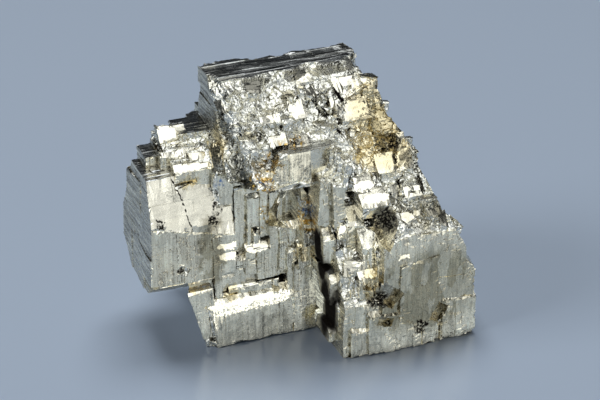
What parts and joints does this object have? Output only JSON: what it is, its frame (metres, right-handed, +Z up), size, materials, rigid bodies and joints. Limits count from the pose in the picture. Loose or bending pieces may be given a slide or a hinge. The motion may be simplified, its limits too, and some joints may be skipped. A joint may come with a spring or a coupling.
{
  "type": "pyrite crystal cluster",
  "caption": "Natural cluster of intergrown striated pyrite cubes with stepped crystals at one end and a rough broken slope above, resting on a flat cleaved base.",
  "frame": {"origin": "middle of the bounding box in plan, on the table plane that the cluster rests on", "axes": "+Z up, +X to the right along the longest side as seen from the front, +Y back into the cluster; the cubes are turned 22 degrees about Z"},
  "size_m": [0.0712, 0.0494, 0.0541],
  "materials": {
    "pyrite": "bright metallic, pale brass to silver, striated flat faces and sparkling broken ones"
  },
  "bodies": {
    "root": {"pyrite_cluster": "pyrite"}
  },
  "joints": []
}
